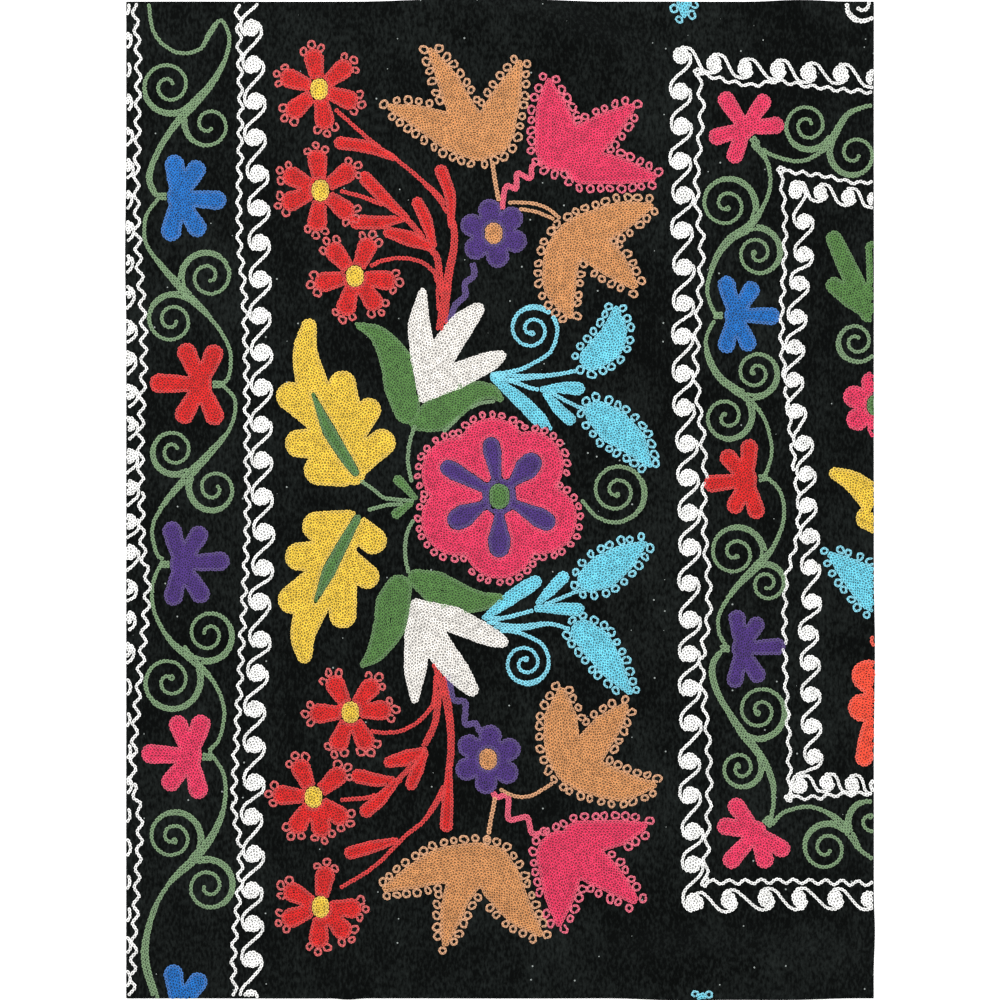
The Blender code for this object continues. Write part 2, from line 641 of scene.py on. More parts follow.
starFlower = {
    "from": 4.0, "to": 18.6, "halfWidths": (3.4, 4.8, 6.0), "centre": (5.1, 6.4),
    "middle": (6.5, 7.5), "tipSpread": 0.31, "tipRings": ((-40, 24.6), (0, 27.2), (40, 24.6)),
}
fingerFlower = {
    "angles": (-101, -60, 0, 58, 102),
    "reach": (21, 20.5, 24, 19.5, 20.5),
    "halfWidths": (3.9, 5.2, 5.8),
    "middle": (6.5, 7.5),
    "stem": (12.5, 7.0),  # from and to, behind the middle
    "stemWidth": 4.4,
}
roundFlower = {"from": 7.0, "to": 14.0, "halfWidths": (5.2, 6.9), "centre": (5.2, 6.3)}
roseColumns = ("angle", "petalTo", "petalHalf", "lobeAt", "lobeHalf")
rose = (
    (99, 31.0, 5.3, 26, 21.5),
    (46, 27.5, 6.9, 26, 20.5),
    (-28, 32.0, 5.9, 29, 21.0),
    (-90, 30.5, 6.6, 28, 21.5),
    (-151, 28.5, 6.8, 29, 21.5),
    (151, 35.0, 5.2, 29, 21.5),
)
roseCentre = (6.0, 7.6)
roseFigure = (10.0, 10.8)  # half sizes of the purple round the centre
roseGround = (24, 24)
scroll = {
    "disc": 4.7, "width": 2.1, "cornerDisc": (2.9, 3.1),
    "corners": ((119, 257), (169, 198), (123.4, -230), (174, -179)),
}
# The row between two discs: which disc it winds round there, how far round, and how far from its middle.
sweepColumns = ("disc", "angle", "reach")
scrollSweep = (
    ("this", -0.75, 4.4), ("this", -0.30, 5.0), ("this", 0.05, 5.4), ("this", 0.40, 6.1),
    ("this", 0.95, 7.4), ("next", 1.02, 7.9), ("next", 0.56, 6.8), ("next", 0.12, 6.0),
    ("next", -0.38, 5.5), ("next", -0.90, 5.1), ("next", -1.35, 4.7),
)


def ringOfPetals(x, y, angles, fromRadius, toRadius, halves):
    strokes = []
    radii = np.linspace(fromRadius, toRadius, len(halves))
    for degrees in angles:
        angle = radians(degrees)
        spine = [(x + r * cos(angle), y + r * sin(angle)) for r in radii]
        strokes.append(strokeOf(spine, halves))
    return strokes


def workStarFlower(thread, x, y, angles):
    flower = starFlower
    middle = oval(x, y, *flower["centre"])
    workShape("yellow", [middle])
    petals = ringOfPetals(x, y, angles, flower["from"], flower["to"], flower["halfWidths"])
    workShape(thread, petals + [oval(x, y, *flower["middle"])], [middle])
    for petal in petals:
        facing = atan2(petal[-1, 1] - y, petal[-1, 0] - x)
        for swing, reach in flower["tipRings"]:
            angle = facing + radians(swing) * flower["tipSpread"]
            workRing(thread, x + reach * cos(angle), y + reach * sin(angle))


def workFingerFlower(thread, x, y, facing, spread, size):
    flower = fingerFlower
    strokes = [oval(x, y, *(half * size for half in flower["middle"]))]
    halves = [half * size for half in flower["halfWidths"]]
    back = -np.array((cos(radians(facing)), sin(radians(facing))))
    workLine("green", [(x, y) + back * reach for reach in flower["stem"]], flower["stemWidth"])
    for angle, reach in zip(flower["angles"], flower["reach"]):
        aim = radians(facing + angle * spread + dice.uniform(-4, 4))
        far = reach * size * dice.uniform(0.94, 1.05)
        spine = [(x + share * far * cos(aim), y + share * far * sin(aim)) for share in (0.1, 0.55, 1.0)]
        strokes.append(strokeOf(spine, halves))
    workShape(thread, strokes)


def workRoundFlower(thread, heartThread, x, y, turn, scale=1.0):
    flower = roundFlower
    middle = oval(x, y, *(scale * half for half in flower["centre"]))
    workShape(heartThread, [middle])
    petals = ringOfPetals(
        x, y, [turn + 60 * k for k in range(6)], scale * flower["from"], scale * flower["to"],
        [scale * half for half in flower["halfWidths"]],
    )
    workShape(thread, petals, [middle])


def workRose(x, y):
    middle = oval(x, y, *roseCentre)
    workShape("green", [middle])
    figure, lobes = [oval(x, y, *roseFigure)], [oval(x, y, *roseGround)]
    for petal in named(roseColumns, rose):
        c, s = cos(radians(petal["angle"])), sin(radians(petal["angle"]))
        half = petal["petalHalf"]
        spine = [(x + r * c, y + r * s) for r in (7.0, 14.0, petal["petalTo"] * 0.86, petal["petalTo"])]
        figure.append(strokeOf(spine, (2.6, 3.2, half, half * 0.92)))
        lobeX, lobeY = x + petal["lobeAt"] * c, y + petal["lobeAt"] * s
        lobes.append(oval(lobeX, lobeY, petal["lobeHalf"], petal["lobeHalf"]))
    workShape("purple", figure, [middle])
    outline = workShape("crimson", lobes, [np.vstack(figure), middle])
    workPicots("crimson", outline, 0.86)


def workScroll(places, size=1.0):
    # filled discs in a line, each joined to the next by a row that swings from one side to the other
    discs = [np.array(place, float) for place in places]
    half = scroll["disc"] * size
    for place in discs:
        workShape("border", [oval(place[0], place[1], half * dice.uniform(0.92, 1.02), half * 1.04)])
    for here, there in zip(discs, discs[1:]):
        run = (there - here) / hypot(*(there - here))
        across = np.array((-run[1], run[0]))
        points = []
        for sweep in named(sweepColumns, scrollSweep):
            aim = across * cos(sweep["angle"]) + run * sin(sweep["angle"])
            swing = size * sweep["reach"] * aim
            points.append(here + swing if sweep["disc"] == "this" else there - swing)
        workLine("border", points, scroll["width"])


def alongLine(points, count, wander=0.9):
    line = smoothLine(points)
    lengths = lengthsAlong(line)
    places = [pointAt(line, lengths, share * lengths[-1]) for share in np.linspace(0, 1, count)]
    return np.array(places) + dice.uniform(-wander, wander, (count, 2))


# The spray: each part with its spine in the upper half, and in the lower one, which is nearly its mirror

motifColumns = ("name", "thread", "edging", "strokes")
strokeColumns = ("halfWidths", "spine", "lowerSpine")
sprayMotifs = (
    ("midrib", "green", "", (
        ((0.9, 3.9, 3.2, 2.2), ((-112.4, 63.6), (-103, 42), (-92, 24), (-87, 16.5)),
         ((-111, -61), (-103, -43), (-93.6, -25), (-85.8, -10.8))),
    )),
    ("yellow leaf", "yellow", "midrib", (
        ((11, 7.6, 4.7), ((-110, 58), (-117, 87), (-115, 104.4)),
         ((-110, -55), (-118.4, -80), (-117.6, -93.6))),
        ((11, 7), ((-108, 52), (-88, 16)), ((-106, -50), (-90, -20))),
        ((10, 8.6), ((-108, 50), (-126, 62.4)), ((-108, -48), (-125, -60))),
        ((10, 8.4), ((-102, 34), (-121, 34)), ((-104, -34), (-121, -34))),
        ((9, 9), ((-95, 17), (-109, 18)), ((-92, -15), (-110, -16))),
        ((9, 8.2), ((-92, 50), (-94.8, 69.6)), ((-95, -50), (-94.6, -69))),
        ((9, 7.4), ((-91, 38), (-79, 54)), ((-92, -38), (-80, -46))),
        ((8, 8.2), ((-88, 20), (-71, 34.6)), ((-86, -17), (-76.4, -24.5))),
    )),
    ("tulip", "white", "", (
        ((2.5, 8, 6.8, 2.4), ((-46.5, 61.5), (-46, 85), (-48.5, 105), (-46.6, 125)),
         ((-51, -62), (-49.6, -82), (-51, -102), (-51.4, -120))),
        ((2.5, 9, 7.6, 4.2), ((-46.5, 61.5), (-36.5, 85), (-23, 105), (-13.6, 114.5)),
         ((-50, -62), (-40, -84), (-26, -103), (-17, -114))),
        ((2.5, 8, 6, 3.4), ((-46.5, 61), (-27, 74), (-7, 83), (0.2, 86.5)),
         ((-50, -62), (-28, -72), (-7, -81.6), (1.6, -85.4))),
    )),
    ("left sepal", "green", "", (
        ((1.5, 5.5, 9.6, 10.5, 8), ((-86.4, 105.6), (-73, 99), (-63, 84), (-59.4, 69), (-56, 54)),
         ((-83, -99.5), (-75, -92), (-67, -77), (-64.4, -63), (-61, -53))),
    )),
    ("right sepal", "green", "", (
        ((5.5, 10, 9.4, 6.4, 4.2, 1.8),
         ((-49, 47), (-39, 51), (-27, 59), (-15, 65), (-5, 65), (0.6, 60.6)),
         ((-50, -47), (-38, -53), (-26, -58.6), (-14, -61), (-6, -60), (0.6, -58.2))),
    )),
    ("tan leaf", "tan", "picots", (
        ((13, 11, 7, 1.9), ((-13, 217), (-30, 222), (-48, 230.4), (-66, 236.4)),
         ((-14, -219), (-34, -220), (-53, -227), (-69, -234))),
        ((11, 8.6, 6.6, 1.9), ((-14, 219), (-22.8, 234), (-31.2, 252), (-41.4, 270)),
         ((-17, -222), (-25, -236), (-29.4, -250), (-33, -267))),
        ((12, 12.5, 8.6, 1.9), ((-5, 219), (-3, 225), (4.2, 243), (12, 262.8)),
         ((-5, -220), (1, -231), (11, -247), (24, -261))),
    )),
    ("pink leaf", "crimson", "picots", (
        ((15, 9.6, 1.9), ((36, 213), (31.2, 234), (29.4, 252)), ((37, -214), (36, -236), (35.4, -255))),
        ((13, 9, 3), ((45, 210), (63, 223.8), (78, 235.2)), ((45, -213), (64, -226), (80, -239.6))),
        ((11, 8, 2.6), ((51, 201), (72, 198), (91.6, 194.4)), ((48, -204), (70, -200.4), (86, -196.4))),
    )),
    ("side leaf", "tan", "picots", (
        ((11.5, 9, 2.2), ((51, 160.8), (72, 170.4), (90, 177)), ((50, -164), (72, -172), (92, -171.6))),
        ((11, 8.6, 3), ((51, 156), (67, 142.8), (80, 129.6)), ((50, -156), (63, -138), (74.4, -125.4))),
        ((11.5, 11, 10, 1.9), ((45, 157), (37.8, 147), (36, 129), (42, 111)),
         ((44, -160), (37.8, -148), (36.6, -132), (37, -114.4))),
    )),
    ("cyan leaf", "cyan", "picots", (
        ((7.4, 9.4, 7.4, 1.6), ((55.2, 85.2), (64.8, 93), (69, 102), (69.6, 115.2)),
         ((50, -79.4), (58, -87), (67, -100), (78, -116))),
    )),
    ("low cyan leaf", "cyan", "picots", (
        ((7.5, 10.4, 8, 1.6), ((58.8, 52.2), (69, 43.8), (79.8, 34.8), (90, 21)),
         ((54, -48), (63, -42.6), (74, -35), (87, -26))),
    )),
    ("long blade", "cyan", "", (
        ((1.8, 4.2, 4.6, 3.6), ((-4.5, 73.5), (10.5, 61.5), (22.5, 49.5), (27.6, 43)),
         ((-9, -71), (5, -60), (16, -52.6), (21.6, -49))),
    )),
    ("flat blade", "cyan", "", (
        ((1.8, 3.6, 4), ((25.5, 66.6), (39, 67.5), (47, 67)), ((22, -65.4), (36, -65.4), (47, -66))),
    )),
    ("short blade", "cyan", "", (
        ((1.8, 3.4, 3.7), ((27, 64.5), (35, 55), (42, 48.5)), ((23, -62), (31, -53.6), (38, -46.6))),
    )),
    ("blade A", "red", "", (
        ((2, 3.9, 3.9), ((-64, 206), (-80, 212.4), (-96, 214.8)),
         ((-63, -205), (-78, -209), (-90, -212.4))),
    )),
    ("blade B", "red", "", (
        ((1.8, 3.4, 3.9), ((-29.4, 165), (-30, 183), (-35.4, 198)),
         ((-30.6, -160), (-31.5, -180), (-32.4, -196))),
    )),
    ("blade C", "red", "", (
        ((2, 4, 4.2), ((-56.4, 169.8), (-70, 182), (-81, 193.5)),
         ((-62, -169), (-72, -180), (-80.4, -187))),
    )),
    ("blade D", "red", "", (
        ((2, 4, 4.5), ((-58, 169.5), (-72, 167), (-86, 167.4)),
         ((-61, -169), (-74, -168.6), (-85, -166.2))),
    )),
    ("blade E", "red", "", (
        ((2, 3.9, 3.6), ((-40, 153), (-44.4, 168), (-49.5, 178.8)),
         ((-45, -152), (-50, -163), (-53.4, -171))),
    )),
    ("blade F", "red", "", (
        ((2.5, 4.8, 3.4), ((-40.8, 152), (-54, 157), (-67, 161)),
         ((-45, -151), (-56, -155), (-66.6, -157.8))),
    )),
    ("bud", "green", "", (
        ((1.6, 3), ((-51, 1.2), (-61.2, 12)), ((-52.8, -1.2), (-62.4, -8.4))),
    )),
)
lineColumns = ("thread", "widths", "spine", "lowerSpine")
sprayLines = (
    ("red", (6.6, 5, 4.4, 4.2, 4, 3, 2.8, 2.8, 2.8),
     ((-35.4, 102), (-31, 135), (-27.6, 153), (-28.8, 168), (-36, 181), (-48, 193), (-60, 203),
      (-81, 219), (-99, 235)),
     ((-37.8, -98), (-31.8, -122), (-29.4, -144), (-31, -164), (-35, -176), (-45, -192), (-57, -202.2),
      (-75, -220), (-96, -233.4))),
    ("red", (4.4, 4.2, 4, 3.4, 3, 2.8),
     ((-36, 126), (-37.5, 144), (-42, 151.5), (-57, 169.5), (-78, 180.6), (-96, 186)),
     ((-37.4, -112), (-38, -128), (-42, -141), (-55, -162), (-75, -177.5), (-96, -180.6))),
    ("red", (4, 3.4, 3, 2.8, 2.8, 2.8, 2.8),
     ((-36, 114), (-37.5, 132), (-42, 139.5), (-49.5, 144), (-60, 145.5), (-70.5, 144), (-78, 140.4)),
     ((-38, -106), (-39.5, -121), (-44, -128), (-50, -134), (-60, -139), (-70, -140), (-80, -139))),
    ("green", 2.7, ((-53.4, 10.8), (-55.5, 24), (-54, 36), (-51, 45)),
     ((-51, -10), (-56, -20), (-57, -33), (-55, -44))),
    ("green", 2.7, ((-83.7, 11.4), (-75, 5.4), (-69, 1.2), (-52, -0.6)),
     ((-79.5, -6), (-72, -4), (-66, -2.8), (-52, -2.4))),
    ("green", 2.5, ((-3, 59.4), (-12, 58), (-21, 53.4), (-29, 45.6), (-34, 41)), ()),
    ("tan", 3.0, ((-4.8, 204), (-3, 192), (-0.6, 180)), ((-8.4, -210), (-5.4, -192), (-3, -179))),
    ("tan", 2.5, ((5, 179), (19, 178.6), (28.5, 175.5), (36, 169.5)),
     ((0, -174), (9, -178.2), (20, -177.5), (34.8, -168))),
    ("tan", 2.5, ((5, 176), (19, 174), (28, 171), (34.5, 168)), ()),
    ("cyan", (4.6, 4.2, 3, 2.7), ((-5, 74), (10.5, 73.8), (30, 75), (48, 78)),
     ((-8, -75), (12, -76.6), (30, -74.6), (44, -78.5))),
    ("cyan", (4, 3, 2.8, 2.8), ((-4, 74), (7.5, 71.4), (18, 67.5), (25.5, 66)),
     ((-9, -73), (4, -70.5), (14, -68), (22, -65.8))),
    ("cyan", 2.6, ((30, 65), (45, 57), (54, 54)), ((27, -63), (39, -58), (49, -54))),
    ("cyan", (3.4, 3.0, 2.7, 2.7, 2.7), ((-5.4, 75), (10.2, 78), (21, 82.8), (30, 88.8), (33.6, 96)),
     ((-2, -78), (10, -79.5), (19, -83), (26, -87.5), (28.8, -93))),
    ("crimson", 3.4,
     ((1.2, 172.8), (2.4, 184.8), (4.5, 189), (9.6, 187.5), (10.5, 196.5), (18, 193.5), (19.5, 201),
      (25.5, 202.5)),
     ((-7, -170), (-3, -178), (0, -178.6), (5, -178.5), (5.4, -192), (16.2, -191), (19.2, -200.4),
      (28, -200.4))),
    ("purple", 3.8,
     ((-16.5, 142.5), (-15.6, 135), (-21, 130.5), (-21, 123), (-27, 117), (-30, 109.5), (-36, 101.4)),
     ((-12, -139.2), (-15, -134.4), (-21, -134.4), (-21, -122), (-28, -120), (-30.6, -109), (-34, -102))),
)
spiralColumns = ("rootX", "rootY", "centreX", "centreY", "spin", "turns")
spraySpirals = (
    (33.6, 96, 19.2, 102.6, 1, 1.80),
    (28.8, -93, 15.3, -98, -1, 1.80),
)
starColumns = ("x", "y", "petals")
sprayStars = (
    (-108.8, 247.2, (40, 100, 160, 220, 280, 340)),
    (-108.0, 186.3, (34, 96, 154, 200, 264, 321)),
    (-87.3, 134.7, (67, 129, 191, 254, 306, 352)),
    (-90.0, -127.8, (4, 51, 119, 182, 249, 297)),
    (-112.2, -178.8, (41, 114, 176, 240, 284, 324)),
    (-108.0, -244.8, (82, 152, 201, 267, 314, 357)),
)


def workMotifs(motifs, half):
    # a motif's edging is picots, or the name of the earlier motif that it leaves clear
    done = {}
    for motif in named(motifColumns, motifs):
        parts = named(strokeColumns, motif["strokes"])
        strokes = [strokeOf(part[half], part["halfWidths"]) for part in parts]
        holes = [np.vstack(done[motif["edging"]])] if motif["edging"] in done else []
        outline = workShape(motif["thread"], strokes, holes)
        done[motif["name"]] = strokes
        if motif["edging"] == "picots":
            workPicots(motif["thread"], outline)


def workLines(half):
    for line in named(lineColumns, sprayLines):
        if line[half]:
            workLine(line["thread"], line[half], line["widths"])


def workSpray():
    workRose(-0.4, 2.2)
    for star in named(starColumns, sprayStars):
        workStarFlower("red", star["x"], star["y"], star["petals"])
    workRoundFlower("purple", "tan", -3.8, 160.5, 40)
    workRoundFlower("purple", "tan", -7.2, -156.0, 25)
    for half in ("spine", "lowerSpine"):
        workMotifs(sprayMotifs, half)
        workLines(half)
    workSpirals("cyan", spraySpirals, 2.5)
    workLine("green", ((49.2, 0), (53.4, -5.4), (58.2, -10.2)), 2.6)
    workSpiral("green", (58.2, -10.2), (70.2, 5.4), 1, 2.1, 2.6)


# Borders: a vine that swings from side to side, with flowers at its turns and spirals between them

vineColumns = ("widths", "points")
vines = (
    ((2.6, 2.6, 2.6, 2.6, 3.6, 2.6, 2.6, 3.0, 4.2, 6),
     ((-212, 303), (-208, 281), (-195, 269.5), (-181, 271), (-174.5, 281), (-168, 288.6), (-163, 279),
      (-165, 266), (-174, 250), (-186, 236.4))),
    ((5.6, 4, 3.4, 4.2, 3.0),
     ((-186, 236.4), (-196, 225), (-205.8, 208.8), (-210.6, 193), (-205.2, 180.6))),
    ((2.6, 2.6, 2.6, 3.6, 6),
     ((-205.2, 180.6), (-212.4, 169.8), (-212.4, 154), (-202, 139), (-187.2, 122.4))),
    ((5.6, 2.8, 2.6, 2.6, 3.4), ((-187.2, 122.4), (-173, 108), (-162.8, 91), (-163, 75), (-167.4, 69.6))),
    ((2.6, 2.6, 2.6, 4, 6), ((-167.4, 69.6), (-159.4, 60), (-162, 44), (-173, 30), (-186, 16.2))),
    ((5.4, 3.4, 2.6, 2.6, 2.8), ((-186, 16.2), (-200, 0.6), (-209, -15.6), (-207, -31), (-202.8, -36))),
    ((2.6, 2.6, 2.6, 3.4, 5.8), ((-202.8, -36), (-209, -51), (-207.6, -68.4), (-198, -85), (-186, -95))),
    ((5, 2.8, 2.6, 2.6, 3.0), ((-186, -95), (-172, -109), (-166, -126), (-168.6, -142.8), (-175, -151))),
    ((2.6, 2.6, 3.2, 4.6, 6), ((-175, -151), (-166, -166), (-166.4, -186), (-174, -203.4), (-185, -217))),
    ((5.4, 3.0, 3.4, 5, 4.6), ((-185, -217), (-200, -232), (-210, -252), (-213.6, -276), (-207, -300))),
    ((4.6, 3.0, 2.7, 3.0, 5.8), ((152.4, 214.8), (160.4, 204), (162.6, 189), (157, 174), (148.8, 163.2))),
    ((5.8, 5, 3.6, 2.6, 2.8), ((148.8, 163.2), (138, 156.4), (129.6, 144.6), (124.8, 126), (130, 110))),
    ((2.6, 2.6, 4.2, 4.6, 5.6), ((130, 110), (124, 97), (126.6, 82.8), (134, 72), (145.8, 63.6))),
    ((4.4, 2.6, 2.4, 2.4, 3.0), ((145.8, 63.6), (158, 51), (163.2, 34.2), (162.6, 23.4), (159.6, 15))),
    ((2.8, 2.6, 2.6, 3.2, 5.6), ((159.6, 15), (169, 4), (170.6, -12), (164, -29), (154.2, -40.2))),
    ((5.4, 3.4, 2.6, 2.6, 3.0), ((154.2, -40.2), (141, -54), (132, -69), (132, -80), (135.6, -87.6))),
    ((2.8, 4, 4, 3.6, 5.4),
     ((135.6, -87.6), (128, -99), (129.6, -112.8), (136.2, -125.4), (146.4, -141))),
    ((5.4, 4.6, 3.6, 2.8, 2.8), ((146.4, -141), (158, -156), (164, -170), (164.4, -184), (162, -197))),
    ((3.2, 2.7, 2.7, 3.4, 5.4, 3.0, 2.6),
     ((162, -197), (171, -188), (186, -184.6), (200, -190), (210, -199.8), (217, -210.6), (228, -218))),
    ((4.4, 2.7, 2.7, 3.0, 5, 3.4, 2.6),
     ((154, 213), (164, 207.4), (180, 203.8), (192, 208.8), (200, 217.6), (210, 232.6), (228, 239))),
)
spirals = (
    (-186, 237.6, -199.4, 249.2, -1, 1.85), (-187, 236, -175.2, 225.8, 1, 1.50),
    (-191, 128, -175.4, 134.4, -1, 1.80), (-184, 118, -197.4, 108.2, 1, 1.90),
    (-187.8, 17.4, -196.4, 29.6, -1, 1.80), (-186, 14, -172.2, 6.8, 1, 1.70),
    (-191, -88.4, -175.2, -80.6, 1, 1.95), (-183, -96.8, -198.8, -109, -1, 1.90),
    (-183, -214, -196.8, -202.8, 1, 1.90), (-182, -217, -175.4, -232.6, -1, 1.85),
    (199, 218.4, 185, 225.4, -1, 1.90), (199.8, 216, 213.4, 208.4, 1, 1.55),
    (149.6, 164.4, 136.2, 177.6, 1, 1.90), (148, 163, 154.8, 148.4, -1, 1.85),
    (145.8, 63.8, 154, 76.6, 1, 1.85), (147, 62.4, 136.4, 50, -1, 1.75),
    (158.4, -37.2, 141.4, -31.8, 1, 1.85), (155, -39.6, 160.6, -50.4, -1, 1.65),
    (146, -141, 156.4, -126.8, 1, 1.95), (153.6, -151, 144.6, -161.4, -1, 1.75),
    (209.4, -200.4, 196.4, -209.6, 1, 1.85), (210.6, -199.8, 223, -192.6, -1, 1.30),
)
fingerColumns = ("thread", "x", "y", "facing", "spread", "size")
fingerFlowers = (
    ("blue", -193.2, 181.8, -2, 0.98, 1.0), ("red", -180, 69.6, 180, 1.08, 1.0),
    ("purple", -192, -38.4, 2, 1.02, 1.0), ("crimson", -186, -154, 176, 1.04, 1.0),
    ("blue", -193.2, -306, 0, 1.0, 1.0), ("crimson", 147.4, 223.6, 127, 1.22, 0.88),
    ("blue", 141, 111, 0, 1.03, 0.90), ("red", 148.8, 12, 188, 1.0, 0.90),
    ("purple", 145.2, -89.4, 0, 1.0, 0.88), ("crimson", 154.2, -200, 227, 1.0, 0.92),
)
zigzagColumns = ("halfWave", "swing", "points")
zigzagBorders = (
    (5.5, 1.7,
     ((-220.8, 304), (-217.8, 264), (-218.4, 180), (-214.4, 96), (-216.4, 30), (-214.8, -30),
      (-212, -54), (-217, -108), (-221, -165), (-216.8, -192), (-219, -240), (-222, -304))),
    (5.2, 1.45,
     ((-158, 304), (-156, 240), (-157, 165), (-153.4, 110), (-152, 0), (-155, -84), (-160, -178),
      (-156, -214), (-160.4, -276), (-159, -304))),
    (4.6, 1.0, ((119, 257), (134, 253), (152, 249.6), (166, 252), (186, 249), (207, 246.6), (230, 245))),
    (6.6, 1.5,
     ((119, 257), (121.4, 235), (118.6, 200), (118.6, 175), (121.4, 148), (118, 80), (123, 25),
      (122.5, -10), (126, -62), (121.6, -100), (126, -160), (123.4, -230))),
    (4.9, 1.3, ((123.4, -230), (175, -229.4), (230, -231))),
    (4.3, 0.9, ((169, 198), (195, 195), (213, 191), (230, 192.4))),
    (5.6, 1.1,
     ((169, 198), (171.6, 160), (169.4, 98), (174, 50), (179.6, -14), (172, -50), (171.6, -100),
      (174, -150), (174, -179))),
    (4.6, 1.1, ((174, -179), (189, -179), (207, -177), (230, -176.4))),
)
scrollColumns = ("discs", "size", "points")
scrollBorders = (
    (32, 0.98,
     ((-228, 299.5), (-226, 160), (-224.5, 60), (-223.4, -50), (-227.6, -110), (-228, -190),
      (-229, -305))),
    (29, 1.04, ((-150, 305), (-146, 200), (-142.4, 15), (-142.6, -35), (-147.6, -150), (-150, -298.8))),
    (25, 1.04, ((109, 267.6), (109.6, 180), (111, 80), (114, -40), (114.4, -130), (117, -241))),
    (7, 1.0, ((109, 267.6), (146, 260), (186, 257.6), (224, 254.4))),
    (6, 1.0, ((117, -241), (158, -239.8), (222, -240.6))),
    (20, 0.93,
     ((177.8, 186.4), (183, 158), (179, 114), (177, 86), (178, 60), (184, 24), (185, -6), (187.6, -36),
      (188, -58), (185, -84), (188, -112), (186.6, -128), (189, -156), (181, -172))),
    (4, 0.9, ((177.8, 186.4), (196, 184.6), (225, 182))),
    (4, 0.9, ((181, -172), (196, -169.6), (226, -171))),
)


def workBorders():
    for flower in named(fingerColumns, fingerFlowers):
        workFingerFlower(*(flower[column] for column in fingerColumns))
    for border in named(scrollColumns, scrollBorders):
        workScroll(alongLine(border["points"], border["discs"]), border["size"])
    for border in named(zigzagColumns, zigzagBorders):
        wave = zigzagLine(border["points"], border["halfWave"], border["swing"])
        workLine("border", wave, scroll["width"])
    for x, y in scroll["corners"]:
        workShape("border", [oval(x, y, *scroll["cornerDisc"])])
    for vine in named(vineColumns, vines):
        workLine("green", vine["points"], vine["widths"])
    workSpirals("green", spirals)


# The middle field, cut off by the right edge, and the tips that cross the other edges

fieldMotifs = (
    ("fingers", "green", "", (
        ((6, 6, 4.9), ((222, 113), (210, 138), (201, 157))),
        ((6, 6, 5), ((224, 114), (212, 121), (201, 129))),
        ((5, 4.6, 3.7), ((226, 118), (225, 138), (223.6, 152))),
    )),
    ("crescent", "yellow", "", (
        ((3.6, 6.4, 9), ((201.5, 16), (213, 10.6), (226, -1))),
        ((6.8, 8), ((221, -11), (230, -14))),
    )),
    ("field leaf", "cyan", "picots", (((1.9, 7, 12.5), ((199, -33), (210, -42), (226, -55))),)),
    ("ember flower", "orange", "", (
        ((9, 9.6), ((236, -118), (221, -105.6))),
        ((8, 8.3), ((236, -124), (217.8, -124.8))),
        ((8, 6.2, 5.3), ((230, -128), (223, -140), (219, -155))),
    )),
    ("ember bud", "orange", "", (((6, 5), ((232, -84), (227, -84))),)),
    ("head tip", "cyan", "picots", (((6, 1.9), ((110, 306), (111, 292))),)),
    ("foot tip", "cyan", "picots", (((5, 1.9), ((121, -307), (121, -297))),)),
)


def workField():
    workRoundFlower("crimson", "green", 226, 57, 38, 0.98)
    workMotifs(fieldMotifs, "spine")
    workSpiral("green", (226, 89), (214.4, 95.4), -1, 1.8, 2.5)
    workSpiral("border", (226, 292), (217, 298), -1, 1.3, 2.3)


# The chain link, and links set along the rows

link = {
    "outer": 1.36, "crown": 0.98, "lip": 0.40, "thick": 0.46, "dish": -0.28, "reach": 0.12,
    "tipFrom": 1.2,  # how far out the head and the tail begin
    "tailNarrow": 0.80, "tailRise": 0.10, "tailDip": -0.14, "headDip": -0.10,
    "hollowReach": 0.80, "hollowFrom": 0.08,
}


def pickVertices(mesh, chosen):
    # selects by place, in object mode, and goes back into edit mode
    bpy.ops.object.mode_set(mode="OBJECT")
    for face in mesh.polygons:
        face.select = False
    for edge in mesh.edges:
        edge.select = False
    for vertex in mesh.vertices:
        vertex.select = bool(chosen(vertex.co / mm))
    bpy.ops.object.mode_set(mode="EDIT")


